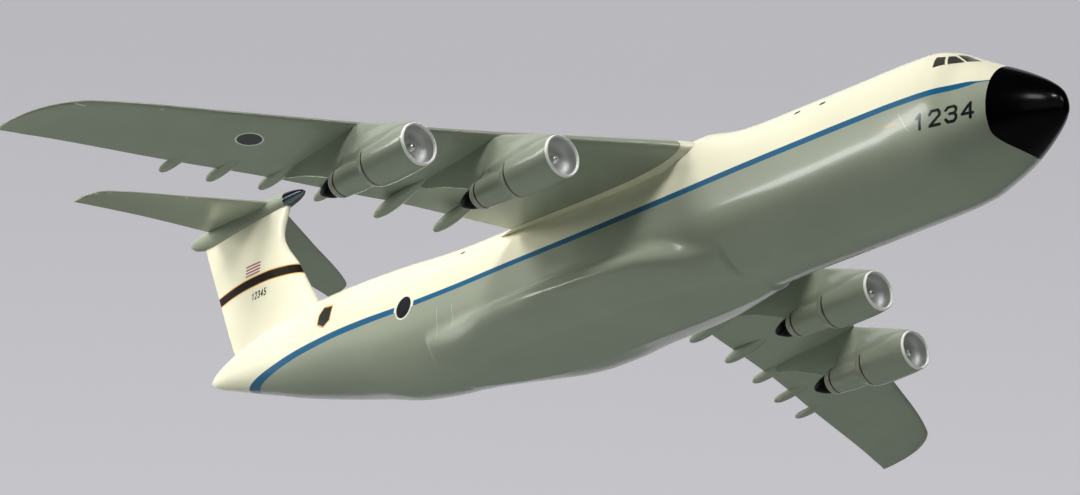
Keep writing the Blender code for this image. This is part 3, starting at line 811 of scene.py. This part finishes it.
def shoulder_ring(aft, tilt):
    """Points of nacelle and pylon in one smooth outline, by their tilt from upright."""
    radius = nacelle_radius(aft)
    fillet = PYLON_FILLET * ease((aft - FILLET_START) / FILLET_GROWTH)
    fillet = fillet * (1.0 - ease((aft - FILLET_FADE) / (PYLON_SPLIT - FILLET_FADE)))

    def gaps(reach):
        up = reach * np.cos(tilt)
        width = np.maximum(fillet * ease((up - FILLET_FOOT) / FILLET_RISE), FILLET_LEAST)
        return width, reach - radius, pylon_distance(aft, reach * np.sin(tilt), up)

    def outside(reach):
        width, from_nacelle, from_pylon = gaps(reach)
        blend = np.maximum(width - np.abs(from_nacelle - from_pylon), 0.0)
        return np.minimum(from_nacelle, from_pylon) - blend ** 2 / (4.0 * width)

    reach = outline_reach(outside, 1.0, np.linspace(32.0, radius - 1.0, 120), 20)
    width, from_nacelle, from_pylon = gaps(reach)
    reach = reach - SKIRT_SINK * ease((from_pylon - from_nacelle - width) / SKIRT_FADE)
    return np.stack((-reach * np.cos(tilt), reach * np.sin(tilt), np.full(len(tilt), -aft)), -1)


def strip(rows):
    """A bmesh through an array of rows of points, open on all sides."""
    bm = bmesh.new()
    rows = [[bm.verts.new(point) for point in row] for row in rows]
    for near, far in zip(rows, rows[1:]):
        for a, b, c, d in zip(near, near[1:], far[1:], far):
            bm.faces.new((a, b, c, d))
    return bm


def build_pylon(tag, turning):
    """A shoulder that grows out of the nacelle, and the pylon's plain aft part."""
    tilt = np.linspace(-1.0, 1.0, 121)
    tilt = np.sign(tilt) * np.abs(tilt) ** 1.5 * SKIRT_TILT
    stations = np.append(spaced(SHOULDER_RINGS), PYLON_SPLIT)
    bm = strip([shoulder_ring(aft, tilt) * MM for aft in stations])
    levels = np.linspace(PYLON[0][0], PYLON[-1][0], 50)
    rings = []
    for up, (front, back, half) in zip(levels, sample(PYLON, levels)):
        aft, across = teardrop(front, back, half, 90)
        inset = 1.0 - AFT_INSET * (1.0 - ease((aft - PYLON_SPLIT + AFT_FADE) / AFT_FADE))
        rings.append(np.stack((np.full(len(aft), -up), across * inset, -aft), -1) * MM)
    rear = skin(rings, (False, False))
    ahead = [face for face in rear.faces
             if -min(vert.co.z for vert in face.verts) / MM < PYLON_SPLIT - AFT_OVERLAP]
    bmesh.ops.delete(rear, geom=ahead, context="FACES")
    spare = bpy.data.meshes.new("spare")
    rear.to_mesh(spare)
    rear.free()
    bm.from_mesh(spare)
    bpy.data.meshes.remove(spare)
    bmesh.ops.transform(bm, matrix=turning, verts=bm.verts)
    finish_mesh("pylon_skin_" + tag, bm, ["grey_green"], ["pylon_" + tag])


def build_engines():
    for side, word in SIDES:
        for which, out, station, height in ENGINES:
            turning = turning_frame(station, side * out, height, ENGINE_PITCH)
            build_engine(which + "_" + word, turning)
            build_pylon(which + "_" + word, turning)


def chord_line(out):
    """Height of the wing's chord line over the stations, carried on behind the wing."""
    front, back, front_height, back_height = sample(WING, [out])[0]
    slope = (back_height - front_height) / (back - front)
    return lambda station: front_height + slope * (station - front)


def build_flap_tracks():
    thickest = TRACK_BLUNTNESS / (1.0 + TRACK_BLUNTNESS)
    full = thickest ** TRACK_BLUNTNESS * (1.0 - thickest)
    ahead = np.linspace(0.0, 1.0, 49) ** 2
    radii = TRACK_RADIUS * ahead ** TRACK_BLUNTNESS * (1.0 - ahead) / full
    profile = list(zip(-TRACK_LENGTH * ahead, radii))[::-1]
    for side, word in SIDES:
        for number, (out, tip, height) in enumerate(FLAP_TRACKS, start=1):
            tag = word + "_" + str(number)
            turning = turning_frame(tip, side * out, height, atan(TRACK_RISE))
            turned("flap_track_skin_" + tag, profile, turning, ["grey_green"],
                   "flap_track_" + tag, sides=40, ceiling=chord_line(out))


# Decals

def polygon(corners):
    """Field that is positive inside a convex polygon in a decal's plane."""
    corners = np.array(corners)
    middle = corners.mean(axis=0)

    def field(u, v):
        inside = np.full(np.shape(u), np.inf)
        for near, far in zip(corners, np.roll(corners, -1, axis=0)):
            along = (far - near) / np.hypot(*(far - near))
            turn = 1.0 if np.cross(along, middle - near) > 0.0 else -1.0
            gap = turn * (along[0] * (v - near[1]) - along[1] * (u - near[0]))
            inside = np.minimum(inside, gap)
        return inside
    return field


def disc(middle, radius, inner=None):
    """Field that is positive inside a disc, or between two circles."""
    def field(u, v):
        reach = np.hypot(u - middle[0], v - middle[1])
        return radius - reach if inner is None else np.minimum(radius - reach, reach - inner)
    return field


def strokes(lines, half):
    """Field that is positive along some polylines."""
    def field(u, v):
        nearest = np.full(np.shape(u), np.inf)
        for line in lines:
            for (u0, v0), (u1, v1) in zip(line, line[1:]):
                length = (u1 - u0) ** 2 + (v1 - v0) ** 2
                share = np.clip(((u - u0) * (u1 - u0) + (v - v0) * (v1 - v0)) / length, 0.0, 1.0)
                gap = np.hypot(u - u0 - share * (u1 - u0), v - v0 - share * (v1 - v0))
                nearest = np.minimum(nearest, gap)
        return half - nearest
    return field


def number_field(number, sign):
    """Field of a plain number, reading forward (sign 1) or aft (sign -1)."""
    digits, station, height, pitch, width, tall, stroke = number
    lines = []
    for place_number, digit in enumerate(digits):
        left = (place_number - 0.5 * (len(digits) - 1)) * pitch - 0.5 * width
        for line in DIGITS[digit]:
            lines.append([(station - sign * (left + width * u), height + tall * (v - 0.5))
                          for u, v in line])
    return strokes(lines, 0.5 * stroke)


def decal(name, finish, box, field, surface, side, step, below=False):
    """A film on a skin where a field of station and height (or distance out) is positive.

    The film is cut out in a plane and laid on the skin from its side or from below.
    """
    stations = np.arange(box[0], box[1] + step, step)
    heights = np.arange(box[2], box[3] + step, step)
    bm = strip([[(s, h, 0.0) for h in heights] for s in stations])
    points = np.array([vert.co for vert in bm.verts])
    cut_edges(bm, field(points[:, 0], points[:, 1]), DECAL_SNAP)
    middles = np.array([face.calc_center_median() for face in bm.faces])
    inside = field(middles[:, 0], middles[:, 1]) > 0.0
    outside = [face for face, within in zip(list(bm.faces), inside) if not within]
    bmesh.ops.delete(bm, geom=outside, context="FACES")
    way = Vector((0.0, 0.0, 1.0)) if below else Vector((0.0, -side, 0.0))
    missed = []
    for vert in bm.verts:
        start = Vector(place(vert.co.x, side * vert.co.y, RAY_DOWN) if below
                       else place(vert.co.x, side * RAY_OUT, vert.co.y))
        hit, normal = SURFACES[surface].ray_cast(start, way)[:2]
        if hit is None:
            missed.append(vert)
            continue
        outward = normal if normal.dot(way) < 0.0 else -normal
        vert.co = hit + outward * DECAL_LIFT * MM
    bmesh.ops.delete(bm, geom=missed, context="VERTS")
    bmesh.ops.triangulate(bm, faces=bm.faces)
    for face in bm.faces:
        face.normal_update()
        if face.normal.dot(way) > 0.0:
            face.normal_flip()
    finish_mesh(name, bm, [finish])


def bounds_of(points, margin):
    points = np.array(points)
    low, high = points.min(axis=0) - margin, points.max(axis=0) + margin
    return low[0], high[0], low[1], high[1]


def number_box(number):
    digits, station, height, pitch, width, tall, stroke = number
    reach = 0.5 * (pitch * (len(digits) - 1) + width) + stroke
    return (station - reach, station + reach, height - 0.5 * tall - stroke,
            height + 0.5 * tall + stroke)


def build_roundel(where, ending, roundel, surface, side, below=False):
    """A dark disc and the white ring round it."""
    middle, radius = roundel[:2], roundel[2]
    inner = radius - RING_WIDTH
    box = bounds_of([middle], margin=radius + 0.5)
    decal(where + "_disc" + ending, "navy", box, disc(middle, inner),
          surface, side, 0.4, below)
    decal(where + "_ring" + ending, "decal_white", box,
          disc(middle, radius, inner), surface, side, 0.4, below)


def build_flank_decals(side, word):
    for number, corners in enumerate(PANES, start=1):
        decal("pane_" + word + "_" + str(number), "pane_dark",
              bounds_of(corners, margin=0.3), polygon(corners), "fuselage", side, step=0.35)
    for name, number, surface, step in (("nose_number_", NOSE_NUMBER, "fuselage", 0.3),
                                        ("fin_number_", FIN_NUMBER, "fin", 0.2)):
        decal(name + word, "ink_black", number_box(number),
              number_field(number, -side), surface, side, step)
    build_roundel("flank", "_" + word, ROUNDEL, "fuselage", side)
    shape = polygon(LOZENGE)
    box = bounds_of(LOZENGE, margin=0.5)
    decal("lozenge_edge_" + word, "gold", box,
          lambda u, v: np.minimum(shape(u, v), LOZENGE_EDGE - shape(u, v)), "fuselage", side,
          step=0.3)
    decal("lozenge_" + word, "ink_black", box,
          lambda u, v: shape(u, v) - LOZENGE_EDGE, "fuselage", side, step=0.3)
    for number, (station, height, radius) in enumerate(CROWN_SPOTS, start=1):
        line = ((station - SPOT_HALF_LENGTH, height), (station + SPOT_HALF_LENGTH, height))
        decal("crown_spot_" + word + "_" + str(number), "ink_black",
              bounds_of(line, margin=radius + 0.3), strokes([line], radius), "fuselage", side,
              step=0.2)


def build_patch(side, word):
    station, height, length, tall = STRIPED_PATCH
    box = (station - 0.5 * length, station + 0.5 * length, height - 0.5 * tall,
           height + 0.5 * tall)
    for number, sign, finish in (("0", 1.0, "decal_red"), ("1", -1.0, "decal_white")):
        def field(u, v, sign=sign):
            share = (v - box[2]) / tall * PATCH_STRIPES
            wave = sign * np.cos(pi * share - 0.5 * pi)
            edge = np.minimum(np.minimum(u - box[0], box[1] - u),
                              np.minimum(v - box[2], box[3] - v))
            return np.minimum(wave, edge + PATCH_RIM)
        decal("fin_patch_" + number + "_" + word, finish, box, field, "fin",
              side, step=0.18)


def build_decals():
    for side, word in SIDES:
        build_flank_decals(side, word)
        build_patch(side, word)
    build_roundel("wing", "", WING_ROUNDEL, "wing_right", -1.0, below=True)
    # Pale scratches on the right flank; the first is a painted highlight where a seam catches
    # the light
    for number, (line, half) in enumerate(SCRATCHES_AND_SEAM_GLINT, start=1):
        decal("scratch_" + str(number), "scratch_pale",
              bounds_of(line, margin=0.4), strokes([line], half), "fuselage", -1.0, step=0.18)
    decal("touch_up", "touch_up",
          bounds_of([end for line in TOUCH_UP for end in line], margin=1.0),
          strokes(TOUCH_UP, TOUCH_UP_HALF_WIDTH), "fuselage", -1.0, step=0.2)
    for surface, chips in (("wing_right", WING_CHIPS), ("tailplane_right", TAIL_CHIPS)):
        for number, (station, out, half_length, half_width) in enumerate(chips, start=1):
            line = ((station - 0.5 * half_length, out - half_length),
                    (station + 0.5 * half_length, out + half_length))
            decal("chip_" + surface + "_" + str(number), "scratch_pale",
                  bounds_of(line, margin=0.8), strokes([line], half_width), surface, -1.0,
                  step=0.2, below=True)


# Finishes

def new_finish(name, colour, roughness, metallic=0.0):
    finish = bpy.data.materials.new(name)
    finish.use_nodes = True
    tree = finish.node_tree
    shader = tree.nodes["Principled BSDF"]
    shader.inputs["Base Color"].default_value = (*colour, 1.0)
    shader.inputs["Roughness"].default_value = roughness
    shader.inputs["Metallic"].default_value = metallic
    return finish, tree, shader


def new_node(tree, kind, settings=()):
    """A shader node with some of its inputs set."""
    node = tree.nodes.new("ShaderNode" + kind)
    for entry in settings:
        node.inputs[entry].default_value = settings[entry]
    return node


def link(tree, source, output, target, entry):
    tree.links.new(source.outputs[output], target.inputs[entry])


def add_noise(tree, scale, detail):
    where = new_node(tree, "TexCoord")
    noise = new_node(tree, "TexNoise", {"Scale": scale, "Detail": detail})
    link(tree, where, "Object", noise, "Vector")
    return noise


def lacquer(name, colour, mottle, roughness=0.24, coat=0.25, waves=0.0006, shine=0.5):
    """Gloss lacquer over a hand-finished moulding: faint mottle, dust and slow waves."""
    finish, tree, shader = new_finish(name, colour, roughness)
    cloud = add_noise(tree, 22.0, 5.0)
    speck = add_noise(tree, 900.0, 2.0)
    wave = add_noise(tree, 28.0, 1.0)
    ramp = new_node(tree, "ValToRGB")
    for element, position, shade in zip(ramp.color_ramp.elements, (0.35, 0.65),
                                        (1.0 - mottle, 1.0 + mottle)):
        element.position = position
        element.color = (*(min(channel * shade, 1.0) for channel in colour), 1.0)
    rough = new_node(tree, "MapRange", {"To Min": roughness * 0.9, "To Max": roughness * 1.15})
    bump = new_node(tree, "Bump", {"Distance": waves, "Strength": 0.5})
    link(tree, cloud, "Fac", ramp, "Fac")
    link(tree, ramp, "Color", shader, "Base Color")
    link(tree, speck, "Fac", rough, "Value")
    link(tree, rough, "Result", shader, "Roughness")
    link(tree, wave, "Fac", bump, "Height")
    link(tree, bump, "Normal", shader, "Normal")
    shader.inputs["Coat Weight"].default_value = coat
    shader.inputs["Coat Roughness"].default_value = 0.06
    shader.inputs["Specular IOR Level"].default_value = shine
    return finish


def turned_metal(name, colour, roughness, spacing, metallic=1.0):
    """Bare metal with the fine rings that a lathe tool leaves; with no metallic share it gives
    the inlet lip's white, a painted reflection.
    """
    finish, tree, shader = new_finish(name, colour, roughness, metallic)
    where = new_node(tree, "TexCoord")
    apart = new_node(tree, "SeparateXYZ")
    flat = new_node(tree, "CombineXYZ")
    length = new_node(tree, "VectorMath")
    length.operation = "LENGTH"
    along = new_node(tree, "Math")
    along.operation = "SUBTRACT"
    noise = new_node(tree, "TexNoise", {"Scale": 1.0 / spacing, "Detail": 2.0})
    noise.noise_dimensions = "1D"
    bump = new_node(tree, "Bump", {"Distance": 0.00025, "Strength": 0.7})
    link(tree, where, "Object", apart, "Vector")
    link(tree, apart, "X", flat, "X")
    link(tree, apart, "Y", flat, "Y")
    link(tree, flat, "Vector", length, 0)
    link(tree, length, "Value", along, 0)
    link(tree, apart, "Z", along, 1)
    link(tree, along, "Value", noise, "W")
    link(tree, noise, "Fac", bump, "Height")
    link(tree, bump, "Normal", shader, "Normal")
    return finish


def make_finishes():
    for name, values in LACQUERS.items():
        FINISHES[name] = lacquer(name, *values)
    for name, values in METALS.items():
        FINISHES[name] = turned_metal(name, *values)


# Stage, lights and camera

def stage_finish(name, colour, glow=(0.0, 0.0, 0.0)):
    """Matt paper, with the glow of the lamps that stand behind it."""
    finish, tree, shader = new_finish(name, colour, 0.9)
    shader.inputs["Emission Color"].default_value = (*glow, 1.0)
    shader.inputs["Emission Strength"].default_value = 1.0
    FINISHES[name] = finish
    return tree, shader


def add_fall_off(tree, shader):
    """Lets the glow fade from the bottom of the paper to its top."""
    low, high, bottom, top = BACKDROP_FADE
    where = new_node(tree, "TexCoord")
    apart = new_node(tree, "SeparateXYZ")
    fade = new_node(tree, "MapRange", {"From Min": low, "From Max": high,
                                       "To Min": bottom, "To Max": top})
    link(tree, where, "Object", apart, "Vector")
    link(tree, apart, "Z", fade, "Value")
    link(tree, fade, "Result", shader, "Emission Strength")


def add_sheet(name, corners, finish):
    mesh = bpy.data.meshes.new(name)
    mesh.from_pydata([tuple(corner) for corner in corners], [], [(0, 1, 2, 3)])
    return new_object(name, mesh, [finish])


def build_stage():
    level = CAMERA_PLACE[2] - FLOOR_BELOW_CAMERA
    stage_finish("floor_paper", FLOOR_COLOUR)
    floor = add_sheet("studio_floor", [(x * FLOOR_REACH, y * FLOOR_REACH, level) for x, y in
                                       ((-1, -1), (1, -1), (1, 1), (-1, 1))], "floor_paper")
    aim = Vector((CAMERA_AIM[0], CAMERA_AIM[1], 0.0)).normalized()
    side = Vector((-aim.y, aim.x, 0.0)) * BACKDROP_SIZE
    foot = aim * BACKDROP_AWAY + Vector((0.0, 0.0, level))
    rise = Vector((0.0, 0.0, BACKDROP_SIZE))
    add_fall_off(*stage_finish("backdrop_paper", BACKDROP_COLOUR, BACKDROP_GLOW))
    wall = add_sheet("backdrop", [foot - side, foot + side, foot + side + rise,
                                  foot - side + rise], "backdrop_paper")


def add_area_light(name, place_m, aim_m, size, power, colour, roll, unseen_by):
    data = bpy.data.lights.new(name, "AREA")
    data.shape = "RECTANGLE"
    data.size, data.size_y = size
    data.energy = power
    data.color = colour
    light = new_object(name, data)
    way = Vector(aim_m) - Vector(place_m)
    light.location = place_m
    turn = way.to_track_quat("-Z", "Y") @ Quaternion((0.0, 0.0, 1.0), roll)
    light.rotation_euler = turn.to_euler()
    light.visible_glossy = unseen_by != "glossy"
    light.visible_diffuse = unseen_by != "diffuse"


def build_lights():
    world = bpy.data.worlds.new("studio_air")
    bpy.context.scene.world = world
    world.use_nodes = True
    air = world.node_tree.nodes["Background"]
    air.inputs["Color"].default_value = (*AIR_COLOUR, 1.0)
    air.inputs["Strength"].default_value = AIR_GLOW
    for values in LIGHTS:
        add_area_light(*values)


def build_camera():
    data = bpy.data.cameras.new("photo_camera")
    data.sensor_fit = "HORIZONTAL"
    data.sensor_width = SENSOR_MM
    data.lens = LENS_MM
    data.clip_start = 0.05
    camera = new_object("photo_camera", data)
    aim = Vector(CAMERA_AIM).normalized()
    right = aim.cross(Vector(CAMERA_UP)).normalized()
    up = right.cross(aim)
    turn = Matrix((right, up, -aim)).transposed()
    camera.matrix_world = Matrix.Translation(CAMERA_PLACE) @ turn.to_4x4()
    bpy.context.scene.camera = camera


def main():
    make_finishes()
    build_fuselage()
    build_wings()
    build_tail()
    build_engines()
    build_flap_tracks()
    build_decals()
    build_stage()
    build_lights()
    build_camera()
    bpy.context.scene.view_settings.view_transform = "Standard"


main()
